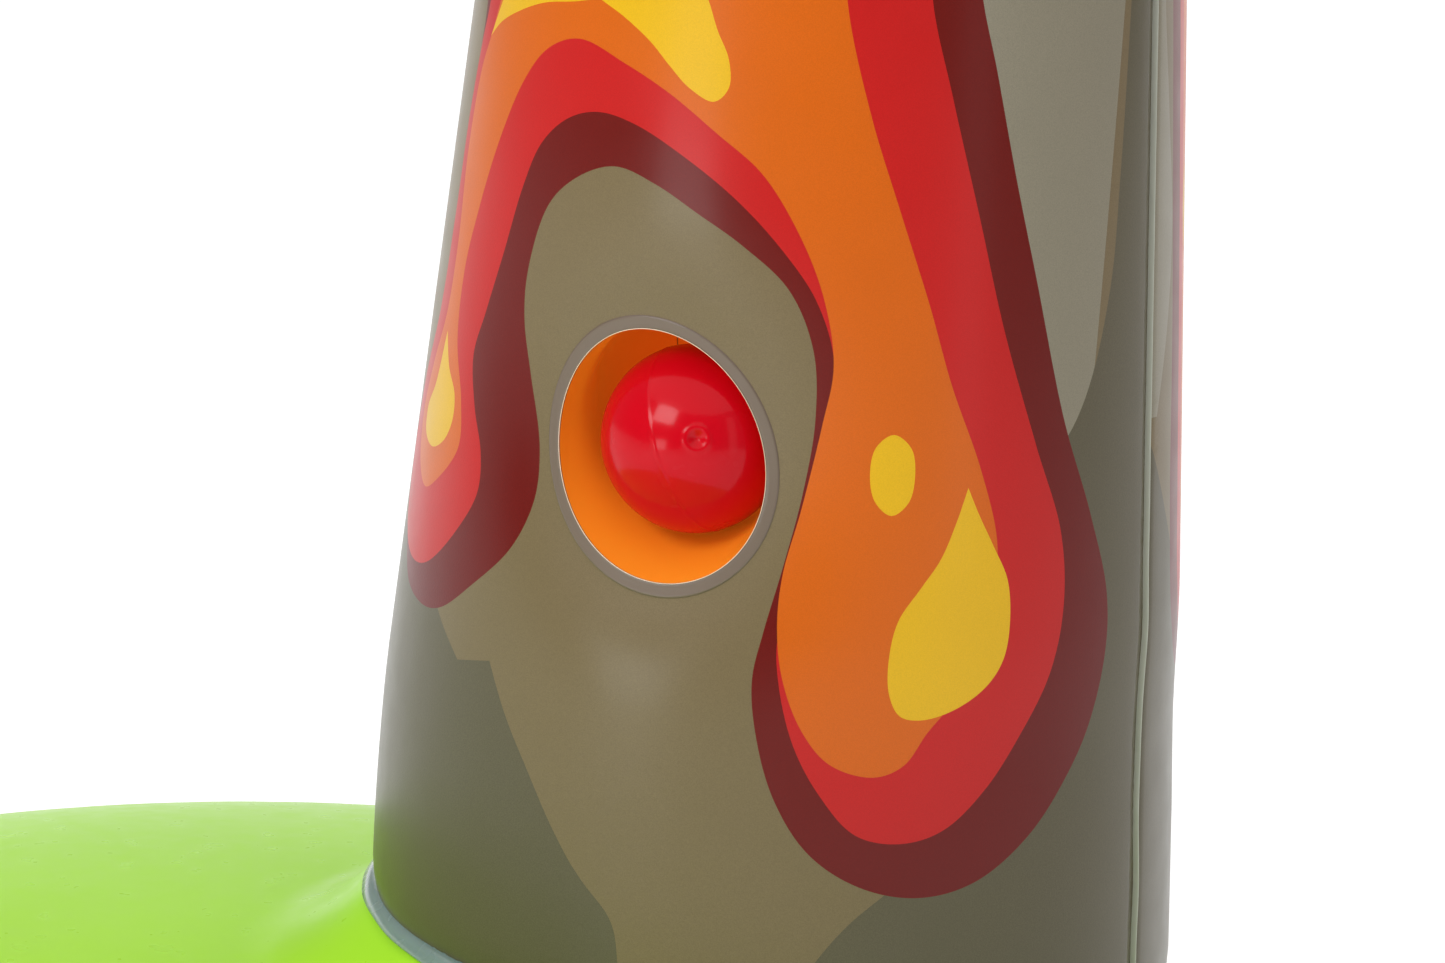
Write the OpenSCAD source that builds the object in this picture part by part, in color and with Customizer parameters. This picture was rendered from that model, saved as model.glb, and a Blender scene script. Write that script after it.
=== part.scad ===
// Inflatable volcano ball tower on a round inflated base, with one play ball in its outlet.
// Origin: on the floor, on the tower's axis. +Z is up and the outlet faces -Y.
// Every film is drawn thicker than the real one, so that each is a sound solid.

/* [Tower] */
// Height of the tower's wall above its joint with the base
wall_height = 544; // [480:1:600]
// Radius of the straight band at the tower's foot
foot_radius = 149; // [140:1:160]
// Height at which the wall starts to taper
foot_height = 86; // [70:1:100]
// Taper of the wall from upright, in degrees
wall_taper = 4.72; // [3:0.01:6]
// How far the inflated crown rises around the crater
crown_rise = 18; // [8:1:30]
// Angle from the outlet to the right-hand side seam, in degrees
seam_angle = 80; // [70:1:90]
// How far each weld stands out of the skin
weld_width = 5; // [3:0.5:8]

/* [Chute] */
// Inner radius of the upright shaft
shaft_radius = 48; // [45:1:55]
// Inner radius of the outlet
outlet_radius = 40; // [36:1:44]
// Height of the outlet's centre above the joint, at the wall
outlet_height = 203.3; // [190:0.1:230]
// Slope of the outlet towards the mouth, in degrees
outlet_slope = 15; // [10:1:18]
// Depth of the collar behind the mouth
collar_depth = 40; // [30:1:50]

/* [Ball] */
// Diameter of the play ball
ball_diameter = 65; // [60:1:70]
// Depth of the ball's centre behind the mouth, along the outlet
ball_depth = 30; // [20:1:60]

/* [Base] */
// Radius of the base cushion
base_radius = 381; // [360:1:420]
// Centre of the base cushion, left of the tower's axis
base_left = 126; // [80:1:140]
// Centre of the base cushion, in front of the tower's axis
base_front = 130; // [80:1:140]
// Height of the base's rim weld above the floor
rim_height = 60; // [50:1:80]
// Rise of the dome above the rim weld
dome_rise = 61; // [50:1:70]
// Fullness of the dome: 2 is an ellipse, and more is squarer
dome_fullness = 2.24; // [2:0.01:3]
// Height of the tower's joint above the floor, on the tower's axis
joint_height = 145; // [140:1:160]
// Tilt of the joint, down and away from the base's centre, in degrees
joint_tilt = 4; // [0:0.5:5]
// Slope of the plinth's side, in degrees
plinth_slope = 57; // [50:1:70]

/* [Valves] */
// Height of the tower's valve above the joint
tower_valve_height = 50; // [40:1:60]
// Where the base's valve lies, behind the tower
base_valve_y = 195; // [190:1:210]
// Where the base's valve lies, left of the tower's axis
base_valve_left = 60; // [30:1:80]
// Radius of a valve's welded patch
patch_radius = 15; // [12:1:18]
// Inner radius of a valve's stem
stem_bore = 4.5; // [4:0.1:5]
// How far a stem stands out
stem_out = 11; // [10:0.5:12]

/* [Hidden] */
$fn = 96;
// Facets of a skin that a small piece is shaped to
fine_facets = 720;

// Sheet thicknesses
film = 1;
base_film = 1.2;
weld = 1.2;
// A length past anything that is cut
far = 900;

// Tower
wall_top = joint_height + wall_height;
taper_start = joint_height + foot_height;
wall_top_radius = foot_radius - (wall_height - foot_height) * tan(wall_taper);
crater_rise = 5;
crater_fin = 4;
crown_steps = 12;

// Outlet
mouth_height = joint_height + outlet_height;
mouth_y = -(foot_radius - (outlet_height - foot_height) * tan(wall_taper));
outlet_outer = outlet_radius + film;
shaft_outer = shaft_radius + film;
// The floor lies just under the outlet's lowest line, so that the ball rolls out
floor_drop = outlet_radius + 0.3;
floor_film = 1.2;
ramp_length = 115;
hole_reach = 130;

// Ball, with a small gap under it
ball_radius = ball_diameter / 2;
ball_wall = 1.2;
ball_gap = 0.2;
vent_radius = 3.2;
vent_tilt = -34;
vent_turn = -40;

// Base
base_centre = [-base_left, -base_front];
dome_steps = 18;
dome_bottom = rim_height + weld / 2;
dome_height = dome_rise - weld / 2;
rim_curve = 50;
rim_weld_width = 6;
seam_lip = 1.5;
plinth_depth = 60;
plinth_spread = plinth_depth / tan(plinth_slope);
joint_axis = [-base_front, base_left, 0];

// Valves, each drawn with its skin at z = 0 and its outside towards +z
patch_thickness = 1.4;
stem_wall = 2;
stem_in = 12;
stem_radius = stem_bore + stem_wall;
stem_gap = 0.3;
lip_radius = stem_radius + 1;
lip_thickness = 1.2;
bead_radius = stem_radius + 1.5;
tether_reach = 9.6;
tether_width = 4;
plug_gap = 0.1;
plug_length = 4.5;
flap_gap = 0.2;
flap_thickness = 0.6;

// Base valve's place on the dome, and the dome's slope there
valve_offset = [-base_valve_left, base_valve_y] - base_centre;
valve_rho = norm(valve_offset) / base_radius;
valve_turn = atan2(valve_offset[1], valve_offset[0]);
valve_z = dome_bottom + dome_height * pow(1 - pow(valve_rho, dome_fullness), 1 / dome_fullness);
valve_tilt = atan(dome_height / base_radius * pow(valve_rho, dome_fullness - 1)
    * pow(1 - pow(valve_rho, dome_fullness), 1 / dome_fullness - 1));

vinyl_rock = [0.56, 0.54, 0.49];
vinyl_orange = [0.85, 0.38, 0.10];
vinyl_green = [0.62, 0.84, 0.31];
clear_weld = [0.62, 0.66, 0.58];
ball_red = [0.78, 0.06, 0.10];

// Frames of reference

module at_joint() {
    translate([0, 0, joint_height]) rotate(a = joint_tilt, v = joint_axis) children();
}

// +z runs out of the mouth along the outlet, and +y is up across it
module at_outlet() {
    translate([0, mouth_y, mouth_height]) rotate([90 + outlet_slope, 0, 0]) children();
}

module at_base() {
    translate([base_centre[0], base_centre[1], 0]) children();
}

module at_tower_valve() {
    translate([0, foot_radius, joint_height + tower_valve_height])
        rotate([-90, 0, 0]) rotate([0, 0, 90]) children();
}

module at_base_valve() {
    translate([-base_valve_left, base_valve_y, valve_z])
        rotate([0, valve_tilt, valve_turn]) children();
}

module at_ball() {
    at_outlet() translate([0, ball_gap + ball_radius - outlet_radius, -ball_depth]) children();
}

// Shared solids

// The whole tower as one solid, grown outwards by extra
module tower_solid(extra = 0) {
    rotate_extrude()
        polygon([[0, 0], [foot_radius + extra, 0], [foot_radius + extra, taper_start],
                 [wall_top_radius + extra, wall_top], [0, wall_top]]);
}

module below_joint() {
    at_joint() translate([-far / 2, -far / 2, -far]) cube(far);
}

// The tower's wall on one side of the seams, with its foot cut by the sloping joint
module wall_panel(start) {
    difference() {
        rotate([0, 0, start]) rotate_extrude(angle = 180)
            polygon([[foot_radius - film, joint_height - 30], [foot_radius, joint_height - 30],
                     [foot_radius, taper_start], [wall_top_radius, wall_top],
                     [wall_top_radius - film, wall_top], [foot_radius - film, taper_start]]);
        below_joint();
    }
}

// A welded lip that stands out of the wall along one seam
module wall_fin() {
    rotate([90, 0, 0]) translate([0, 0, -weld / 2]) linear_extrude(weld)
        polygon([[foot_radius, joint_height - 30], [foot_radius + seam_lip, joint_height - 30],
                 [foot_radius + seam_lip, taper_start], [wall_top_radius + seam_lip, wall_top],
                 [wall_top_radius, wall_top], [foot_radius, taper_start]]);
}

module tube(inner, outer, low, high) {
    difference() {
        translate([0, 0, low]) cylinder(r = outer, h = high - low);
        translate([0, 0, low - 1]) cylinder(r = inner, h = high - low + 2);
    }
}

// One point of the dome's outline, from the rim at angle 0 to the top at angle 90
function dome_point(radius, height, angle) =
    [radius * pow(cos(angle), 2 / dome_fullness), height * pow(sin(angle), 2 / dome_fullness)];

module dome_solid(inset = 0) {
    at_base() translate([0, 0, dome_bottom]) rotate_extrude()
        polygon(concat([[0, 0]], [for (i = [0 : dome_steps])
            dome_point(base_radius - inset, dome_height - inset, 90 * i / dome_steps)]));
}

// The cushion below its rim; a solid with an inset also stands out of the top
module belly_solid(inset = 0) {
    flat = base_radius - rim_curve;
    top = rim_height - weld / 2;
    at_base() rotate_extrude()
        polygon(concat([[0, inset], [flat, inset]], [for (a = [10 : 10 : 80])
            [flat + (rim_curve - inset) * sin(a), top - (top - inset) * cos(a)]],
            [[base_radius - inset, top + inset], [0, top + inset]]));
}

module plinth_solid(inset = 0) {
    at_joint() translate([0, 0, -plinth_depth])
        rotate_extrude()
            polygon([[0, 0], [foot_radius + plinth_spread - inset, 0],
                     [foot_radius - inset, plinth_depth - inset], [0, plinth_depth - inset]]);
}

// Valve pieces

module valve_patch() {
    difference() {
        translate([0, 0, -patch_thickness]) cylinder(r = patch_radius, h = 2 * patch_thickness);
        translate([0, 0, -far / 2]) cylinder(r = stem_radius + stem_gap, h = far);
    }
}

module valve_hole() {
    translate([0, 0, -stem_in]) cylinder(r = stem_radius + 2 * stem_gap, h = 2 * stem_in);
}

module valve_stem() {
    difference() {
        union() {
            translate([0, 0, -stem_in]) cylinder(r = stem_radius, h = stem_in + stem_out);
            translate([0, 0, stem_out - lip_thickness]) cylinder(r = lip_radius, h = lip_thickness);
            translate([0, 0, -3.4]) cylinder(r = bead_radius, h = lip_thickness);
            translate([-tether_reach, -tether_width / 2, stem_out - lip_thickness])
                cube([tether_reach - stem_radius + 1, tether_width, lip_thickness]);
        }
        translate([0, 0, -stem_in - 1]) cylinder(r = stem_bore, h = stem_in + stem_out + 2);
    }
}

module valve_plug() {
    translate([0, 0, stem_out + plug_gap]) {
        cylinder(r = lip_radius - 0.3, h = 1.6);
        translate([-tether_reach, -tether_width / 2, 0])
            cube([tether_reach, tether_width, lip_thickness]);
        translate([0, 0, -plug_length])
            cylinder(r1 = stem_bore - 1.5, r2 = stem_bore - 0.2, h = plug_length);
    }
}

module valve_flap() {
    translate([0, 0, -stem_in - flap_gap - flap_thickness])
        cylinder(r = stem_radius - 0.5, h = flap_thickness);
}

// Tower skin

module front_panel() {
    color(vinyl_rock) difference() {
        wall_panel(seam_angle + 90);
        at_outlet() translate([0, 0, -60]) cylinder(r = outlet_outer, h = 120);
    }
}

module back_panel() {
    color(vinyl_rock) difference() {
        wall_panel(seam_angle - 90);
        at_tower_valve() valve_hole();
    }
}

module side_seams() {
    color(clear_weld) difference() {
        for (side = [0, 180]) rotate([0, 0, seam_angle - 90 + side]) wall_fin();
        below_joint();
        translate([0, 0, wall_top - weld]) cylinder(r = foot_radius, h = far);
    }
}

module top_panel() {
    inner = shaft_outer + weld;
    line = [for (i = [0 : crown_steps])
        [wall_top_radius + (inner - wall_top_radius) * i / crown_steps,
         wall_top + film + crater_rise * i / crown_steps
            + crown_rise * sin(180 * i / crown_steps)]];
    color(vinyl_rock) rotate_extrude()
        polygon(concat(line, [for (i = [crown_steps : -1 : 0]) line[i] - [0, film]]));
}

module shoulder_seam() {
    color(clear_weld) difference() {
        translate([0, 0, wall_top - weld])
            cylinder(r = wall_top_radius + weld_width, h = 2 * weld);
        translate([0, 0, wall_top - far / 2]) cylinder(r = wall_top_radius + weld, h = far);
    }
    color(clear_weld) tube(wall_top_radius + 0.1, wall_top_radius + weld, wall_top, wall_top + weld);
}

module crater_ring() {
    color(clear_weld)
        tube(shaft_outer, shaft_outer + weld, wall_top + crater_rise - crater_fin,
             wall_top + crater_rise + crater_fin);
}

// Chute

module outlet_cut() {
    at_outlet() translate([0, 0, -hole_reach]) cylinder(r = outlet_outer, h = hole_reach);
}

module below_floor() {
    at_outlet() translate([-far / 2, -far - floor_drop, -far / 2]) cube(far);
}

module chute_shaft() {
    color(vinyl_orange) difference() {
        tube(shaft_radius, shaft_outer, joint_height + 100, wall_top + crater_rise + crater_fin);
        below_floor();
        outlet_cut();
    }
}

module chute_floor() {
    color(vinyl_orange) intersection() {
        translate([0, 0, joint_height]) cylinder(r = shaft_outer, h = wall_height);
        at_outlet() translate([-far / 2, -floor_drop - floor_film, -far / 2])
            cube([far, floor_film, far]);
    }
}

module shaft_weld() {
    color(clear_weld) difference() {
        intersection() {
            tube(shaft_outer, shaft_outer + weld, joint_height + 100, wall_top);
            at_outlet() translate([0, 0, -hole_reach])
                cylinder(r = outlet_outer + weld_width, h = hole_reach);
        }
        outlet_cut();
        below_floor();
    }
}

module outlet_ramp() {
    color(vinyl_orange) difference() {
        at_outlet() tube(outlet_radius, outlet_outer, -ramp_length, -collar_depth);
        cylinder(r = shaft_outer, h = far);
    }
}

module collar_weld() {
    color(clear_weld) at_outlet()
        tube(outlet_outer, outlet_outer + weld_width, -collar_depth - weld / 2,
             -collar_depth + weld / 2);
}

module outlet_collar() {
    color(vinyl_orange) intersection() {
        at_outlet() tube(outlet_radius, outlet_outer, -collar_depth, 60);
        tower_solid();
    }
}

module port_flange() {
    color(clear_weld) difference() {
        intersection() {
            tower_solid(extra = weld);
            at_outlet() tube(outlet_radius, outlet_outer + weld_width, -30, 60);
        }
        tower_solid();
    }
}

// Joint between the tower and the base

module tower_bottom() {
    color(vinyl_rock) intersection() {
        at_joint() cylinder(r = far / 2, h = base_film);
        cylinder(r = foot_radius - film, h = far);
    }
}

module foot_flange() {
    slope = [cos(plinth_slope), -sin(plinth_slope)];
    out = [sin(plinth_slope), cos(plinth_slope)];
    top = [foot_radius, 0];
    low = top + (weld_width + 1) * slope;
    color(clear_weld) difference() {
        at_joint() rotate_extrude() polygon([top, low, low + weld * out, top + weld * out]);
        cylinder(r = foot_radius + 0.1, h = far);
    }
}

module plinth_skin() {
    color(vinyl_green) difference() {
        plinth_solid();
        plinth_solid(inset = base_film);
        dome_solid();
    }
}

// Base

module base_top_skin() {
    color(vinyl_green) difference() {
        dome_solid();
        dome_solid(inset = base_film);
        at_base_valve() valve_hole();
    }
}

module base_bottom_skin() {
    color(vinyl_green) difference() {
        belly_solid();
        belly_solid(inset = base_film);
    }
}

module rim_seam() {
    color(clear_weld) at_base()
        tube(base_radius - 2, base_radius + rim_weld_width, rim_height - weld / 2,
             rim_height + weld / 2);
}

// Valves

module tower_valve_patch() {
    color(clear_weld) difference() {
        at_tower_valve() valve_patch();
        tower_solid($fn = fine_facets);
    }
}

module tower_valve_stem() {
    color(clear_weld) at_tower_valve() valve_stem();
}

module tower_valve_plug() {
    color(clear_weld) at_tower_valve() valve_plug();
}

module tower_valve_flap() {
    color(clear_weld) at_tower_valve() valve_flap();
}

module base_valve_patch() {
    color(vinyl_green) difference() {
        at_base_valve() valve_patch();
        dome_solid($fn = fine_facets);
    }
}

module base_valve_stem() {
    color(clear_weld) at_base_valve() valve_stem();
}

module base_valve_plug() {
    color(clear_weld) at_base_valve() valve_plug();
}

module base_valve_flap() {
    color(clear_weld) at_base_valve() valve_flap();
}

// Ball

// Along the ball's filling hole
module at_vent() {
    at_ball() rotate([0, 0, vent_turn]) rotate([vent_tilt, 0, 0]) children();
}

module ball_shell() {
    color(ball_red) difference() {
        at_ball() sphere(r = ball_radius);
        at_ball() sphere(r = ball_radius - ball_wall);
        at_vent() cylinder(r = vent_radius, h = ball_diameter);
    }
}

module ball_vent_plug() {
    color(ball_red) intersection() {
        at_ball() sphere(r = ball_radius - 0.3);
        at_vent() translate([0, 0, ball_radius - 3]) cylinder(r = vent_radius, h = 3);
    }
}

front_panel();
back_panel();
side_seams();
top_panel();
shoulder_seam();
crater_ring();
chute_shaft();
chute_floor();
shaft_weld();
outlet_ramp();
collar_weld();
outlet_collar();
port_flange();
tower_bottom();
foot_flange();
plinth_skin();
base_top_skin();
base_bottom_skin();
rim_seam();
tower_valve_patch();
tower_valve_stem();
tower_valve_plug();
tower_valve_flap();
base_valve_patch();
base_valve_stem();
base_valve_plug();
base_valve_flap();
ball_shell();
ball_vent_plug();
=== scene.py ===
"""Looks of the inflatable volcano ball tower: printed and welded vinyl skins, the outlet with its
play ball, the glossy inflated base and the valves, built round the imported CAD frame."""
import math

import bmesh
import bpy
import numpy as np
from mathutils import Matrix, Vector, geometry, noise


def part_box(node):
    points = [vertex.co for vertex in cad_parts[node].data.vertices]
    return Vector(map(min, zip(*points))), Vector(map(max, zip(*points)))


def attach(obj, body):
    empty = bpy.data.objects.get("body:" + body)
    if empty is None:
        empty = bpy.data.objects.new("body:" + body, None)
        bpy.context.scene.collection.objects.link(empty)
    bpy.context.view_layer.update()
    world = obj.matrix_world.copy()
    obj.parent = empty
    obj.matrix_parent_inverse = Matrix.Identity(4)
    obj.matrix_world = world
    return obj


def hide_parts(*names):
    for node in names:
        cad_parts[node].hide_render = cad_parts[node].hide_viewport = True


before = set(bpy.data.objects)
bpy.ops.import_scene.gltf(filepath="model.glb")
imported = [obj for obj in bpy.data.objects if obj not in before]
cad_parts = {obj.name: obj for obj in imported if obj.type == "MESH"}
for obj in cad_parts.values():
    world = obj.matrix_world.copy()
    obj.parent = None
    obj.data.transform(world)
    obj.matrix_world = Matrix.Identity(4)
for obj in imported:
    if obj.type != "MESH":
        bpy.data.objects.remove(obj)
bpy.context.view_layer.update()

MM = 0.001
ROOT = "tower_and_base"

# ---------------------------------------------------------------- places taken from the frame

rim_low, rim_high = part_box("rim_seam")
skin_low, skin_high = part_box("base_top_skin")
ball_low, ball_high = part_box("ball_shell")
BASE_X = (rim_low.x + rim_high.x) / 2 / MM
BASE_Y = (rim_low.y + rim_high.y) / 2 / MM
BASE_R = (skin_high.x - skin_low.x) / 2 / MM
RIM_Z = (rim_low.z + rim_high.z) / 2 / MM
DOME_TOP = skin_high.z / MM
WALL_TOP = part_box("front_panel")[1].z / MM
CROWN_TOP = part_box("top_panel")[1].z / MM
BALL_C = (ball_low + ball_high) / 2
BALL_R = (ball_high.x - ball_low.x) / 2

# ---------------------------------------------------------------- the design's own sizes, in mm

JOINT_Z = 145.0          # the tower's joint, on the tower's axis
JOINT_TILT = 4.0         # the joint falls away from the base's centre
FOOT_R = 149.0
CONE_R = 156.1           # the taper run down to the joint
TAPER = 0.0826
FOOT_TOP = 100.0         # below this the wall leaves the cone
ROLL_TOP = 14.0          # below this it rolls in to the foot weld
SHAFT_R = 48.0
RAMP_END_R = 49.3        # the ramp sleeve stops at the shaft's outside
PLINTH_SLOPE = 57.0
DOME_FULLNESS = 2.24
SEAMS = (80.0, -100.0)   # degrees from the outlet
WALL_H = WALL_TOP - JOINT_Z
MEAN_R = 145.0           # turns degrees of wall into mm when the skin is cut out

PORT_Z = 201.2
PORT_TURN = -2.2
PORT_HALF_W = 16.7       # degrees
PORT_HALF_H = 42.1
PORT_LEAN = -2.1         # degrees that the port's top leans to the left
PORT_BAND = 4.6
PORT_DIP = 7.0
OUTLET_SLOPE = 15.0
COLLAR_DEPTH = 40.0
MOUTH_R = 139.3          # from the tower's axis to the middle of the port
MOUTH_Z = 203.3          # the sleeves' axis there, above the joint
SLEEVE_R = 40.4
VALVE_HOLE_R = 7.2
VALVE_CLEAR = 9.0        # no spot of a sheet lies nearer to a valve's axis

PARTING_AXIS = Vector((0.926, -0.038, 0.380)).normalized()    # across the ball's parting line

base_turn = math.atan2(-BASE_Y, -BASE_X)

# ---------------------------------------------------------------- camera

def make_camera():
    """A long lens looking slightly down, rolled a little against the tower."""
    far, up, turn = 1.239, 0.585, math.radians(19)
    pitch, yaw, roll = math.radians(12.42), math.radians(-1.27), math.radians(3.88)
    ahead = Vector((math.sin(yaw) * math.cos(pitch), math.cos(yaw) * math.cos(pitch),
                    -math.sin(pitch)))
    side = Vector((math.cos(yaw), -math.sin(yaw), 0))
    above = side.cross(ahead)
    side, above = (side * math.cos(roll) + above * math.sin(roll),
                   above * math.cos(roll) - side * math.sin(roll))
    spin = Matrix.Rotation(turn, 3, "Z")
    axes = Matrix((spin @ side, spin @ above, spin @ -ahead)).transposed()
    data = bpy.data.cameras.new("camera")
    data.lens = 85
    data.sensor_width = 36
    data.clip_end = 50
    camera = bpy.data.objects.new("camera", data)
    camera.matrix_world = Matrix.Translation(spin @ Vector((0, -far, up))) @ axes.to_4x4()
    bpy.context.scene.collection.objects.link(camera)
    bpy.context.scene.camera = camera

make_camera()

# ---------------------------------------------------------------- materials

def srgb(r, g, b):
    """A colour given as 0 to 255, in the linear values that the shader takes."""
    def linear(v):
        v /= 255
        return v / 12.92 if v <= 0.04045 else ((v + 0.055) / 1.055) ** 2.4
    return (linear(r), linear(g), linear(b), 1)


class Nodes:
    """A material's node tree with short ways to add and join nodes."""

    def __init__(self, name):
        self.material = bpy.data.materials.new(name)
        self.material.use_nodes = True
        self.tree = self.material.node_tree
        self.shader = self.tree.nodes["Principled BSDF"]
        self.coords = self.tree.nodes.new("ShaderNodeTexCoord").outputs["Object"]

    def set(self, **values):
        for key, value in values.items():
            self.shader.inputs[key.replace("_", " ")].default_value = value

    def noise(self, scale, detail=2.0, rough=0.5):
        node = self.tree.nodes.new("ShaderNodeTexNoise")
        node.inputs["Scale"].default_value = scale
        node.inputs["Detail"].default_value = detail
        node.inputs["Roughness"].default_value = rough
        self.tree.links.new(self.coords, node.inputs["Vector"])
        return node.outputs["Fac"]

    def ramp(self, source, low, high, start=0.3, end=0.7):
        node = self.tree.nodes.new("ShaderNodeMapRange")
        node.inputs["From Min"].default_value = start
        node.inputs["From Max"].default_value = end
        node.inputs["To Min"].default_value = low
        node.inputs["To Max"].default_value = high
        self.tree.links.new(source, node.inputs["Value"])
        return node.outputs["Result"]

    def mix(self, factor, first, second):
        node = self.tree.nodes.new("ShaderNodeMix")
        node.data_type = "RGBA"
        for socket, value in ((node.inputs[6], first), (node.inputs[7], second)):
            if isinstance(value, tuple):
                socket.default_value = value
            else:
                self.tree.links.new(value, socket)
        self.tree.links.new(factor, node.inputs[0])
        return node.outputs[2]

    def feed(self, socket, source):
        self.tree.links.new(source, self.shader.inputs[socket])

    def bump(self, layers):
        """Stacks bumps, each (height source, depth in mm)."""
        normal = None
        for height, depth in layers:
            node = self.tree.nodes.new("ShaderNodeBump")
            node.inputs["Strength"].default_value = 1.0
            node.inputs["Distance"].default_value = depth * MM
            self.tree.links.new(height, node.inputs["Height"])
            if normal is not None:
                self.tree.links.new(normal, node.inputs["Normal"])
            normal = node.outputs["Normal"]
        self.feed("Normal", normal)


def shaded(colour, factor):
    return tuple(c * factor for c in colour[:3]) + (1,)


def print_ink(name, colour, mottle=0.05):
    """Ink on satin vinyl: fine sheet grain, slight mottling, and a clear film's soft gloss."""
    n = Nodes(name)
    grain = n.noise(2600, 1.0)
    cloud = n.noise(22, 3.0)
    tone = n.mix(n.ramp(grain, 0, 1, 0.35, 0.65), shaded(colour, 1 - mottle),
                 shaded(colour, 1 + mottle))
    n.feed("Base Color", n.mix(n.ramp(cloud, 0, 0.25), tone, shaded(colour, 0.9)))
    n.feed("Roughness", n.ramp(n.noise(60, 2.0), 0.29, 0.34))
    n.set(Coat_Weight=0.16, Coat_Roughness=0.2, Specular_IOR_Level=0.2)
    n.bump([(n.noise(1500, 2.0), 0.035), (n.noise(14, 1.0), 0.25)])
    return n.material


def plain_vinyl(name, colour, rough, coat=0.3, coat_rough=0.12, gloss=0.3, glow=0.0, light=0.0,
                reach=4.0, depth=0.02):
    """Vinyl film coloured through, with faint cloudiness and the slight unevenness of a pulled sheet.
    The light argument gives it a painted glow in its own colour.
    """
    n = Nodes(name)
    n.feed("Base Color", n.mix(n.ramp(n.noise(7, 1.0), 0, 1), shaded(colour, 0.97),
                               shaded(colour, 1.03)))
    n.feed("Roughness", n.ramp(n.noise(90, 2.0), rough - 0.03, rough + 0.04))
    n.set(Coat_Weight=coat, Coat_Roughness=coat_rough, Specular_IOR_Level=gloss)
    # light: emission in the film's own colour, a painted glow for light shining through the sheet
    if light:
        n.set(Emission_Color=colour, Emission_Strength=light)
    if glow:
        n.set(Subsurface_Weight=glow, Subsurface_Scale=reach * MM,
              Subsurface_Radius=(1.0, 0.6, 0.3))
    layers = [(n.noise(5, 0.0), 0.3)]
    if depth:
        layers.insert(0, (n.noise(900, 1.0), depth))
    n.bump(layers)
    return n.material


INK = {
    "rock": print_ink("ink_rock", srgb(118, 101, 72), 0.09),
    "rock_light": print_ink("ink_rock_light", srgb(138, 130, 112), 0.08),
    "rock_dark": print_ink("ink_rock_dark", srgb(92, 84, 64), 0.10),
    "shade": print_ink("ink_shade", srgb(104, 9, 1), 0.10),
    "red": print_ink("ink_red", srgb(190, 24, 22), 0.05),
    "orange": print_ink("ink_orange", srgb(206, 94, 8), 0.05),
    "yellow": print_ink("ink_yellow", srgb(222, 172, 20), 0.05),
}
# The orange film has a painted glow (emission 0.14) for the light that shines through the chute's
# sheets.
orange_film_painted_glow = plain_vinyl("orange_film_painted_glow", srgb(240, 138, 30), 0.34, glow=0.15, light=0.14)
green_film = plain_vinyl("green_film", srgb(167, 226, 40), 0.30, coat=0.07, coat_rough=0.14,
                         gloss=0.14, depth=0.0)
clear_film = plain_vinyl("clear_film", srgb(140, 148, 136), 0.30, glow=0.2)
foot_film = plain_vinyl("foot_film", srgb(122, 142, 134), 0.25, coat=0.5, glow=0.25)
seam_edge = plain_vinyl("seam_edge", srgb(188, 188, 176), 0.35)
band_film = plain_vinyl("band_film", srgb(112, 95, 82), 0.40, coat_rough=0.2)
# Near white: a painted highlight along the port's cut edge.
cut_edge_painted_highlight = plain_vinyl("cut_edge_painted_highlight", srgb(250, 226, 198), 0.45, coat=0.1)
valve_film = plain_vinyl("valve_film", srgb(196, 204, 190), 0.25, glow=0.3)
ball_plastic = plain_vinyl("ball_plastic", srgb(202, 0, 22), 0.24, coat=0.24, coat_rough=0.12,
                           gloss=0.06, glow=0.1, depth=0.004)
dark_film = plain_vinyl("dark_film", srgb(96, 92, 80), 0.5)

# ---------------------------------------------------------------- outlines

def smooth(points, step=1.5, closed=False):
    """Points along a smooth curve through the given points (a centripetal Catmull-Rom spline)."""
    p = [Vector(q) for q in points]
    if closed:
        ring = [p[-1]] + p + [p[0], p[1]]
    else:
        ring = [p[0] * 2 - p[1]] + p + [p[-1] * 2 - p[-2]]
    out = []
    for a, b, c, d in zip(ring, ring[1:], ring[2:], ring[3:]):
        t1 = (b - a).length ** 0.5
        t2 = t1 + (c - b).length ** 0.5
        t3 = t2 + (d - c).length ** 0.5
        count = max(2, math.ceil((c - b).length / step))
        for i in range(count):
            t = t1 + (t2 - t1) * i / count
            ab = a + (b - a) * (t / t1)
            bc = b + (c - b) * ((t - t1) / (t2 - t1))
            cd = c + (d - c) * ((t - t2) / (t3 - t2))
            abc = ab + (bc - ab) * (t / t2)
            bcd = bc + (cd - bc) * ((t - t1) / (t3 - t1))
            out.append(abc + (bcd - abc) * ((t - t1) / (t2 - t1)))
    if not closed:
        out.append(p[-1])
    return out


def straight(start, end, step=3.0):
    """Points along a straight run, close enough together to follow the curve of the wall."""
    start, end = Vector(start), Vector(end)
    count = max(1, math.ceil((end - start).length / step))
    return [start.lerp(end, i / count) for i in range(count + 1)]


def outline(*runs):
    """A closed outline made of smooth runs that meet in corners. A run of two points is straight.
    Points are (degrees from the outlet, mm above the joint); the result is in mm of unrolled wall."""
    flat = [[(math.radians(x) * MEAN_R, y) for x, y in run] for run in runs]
    if len(flat) == 1:
        return smooth(flat[0], closed=True)
    out = []
    for run in flat:
        for point in smooth(run) if len(run) > 2 else straight(*run):
            if not out or (point - out[-1]).length > 0.01:
                out.append(point)
    return out if (out[0] - out[-1]).length > 0.01 else out[:-1]


TOP = 640.0
LOW = -40.0

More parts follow.
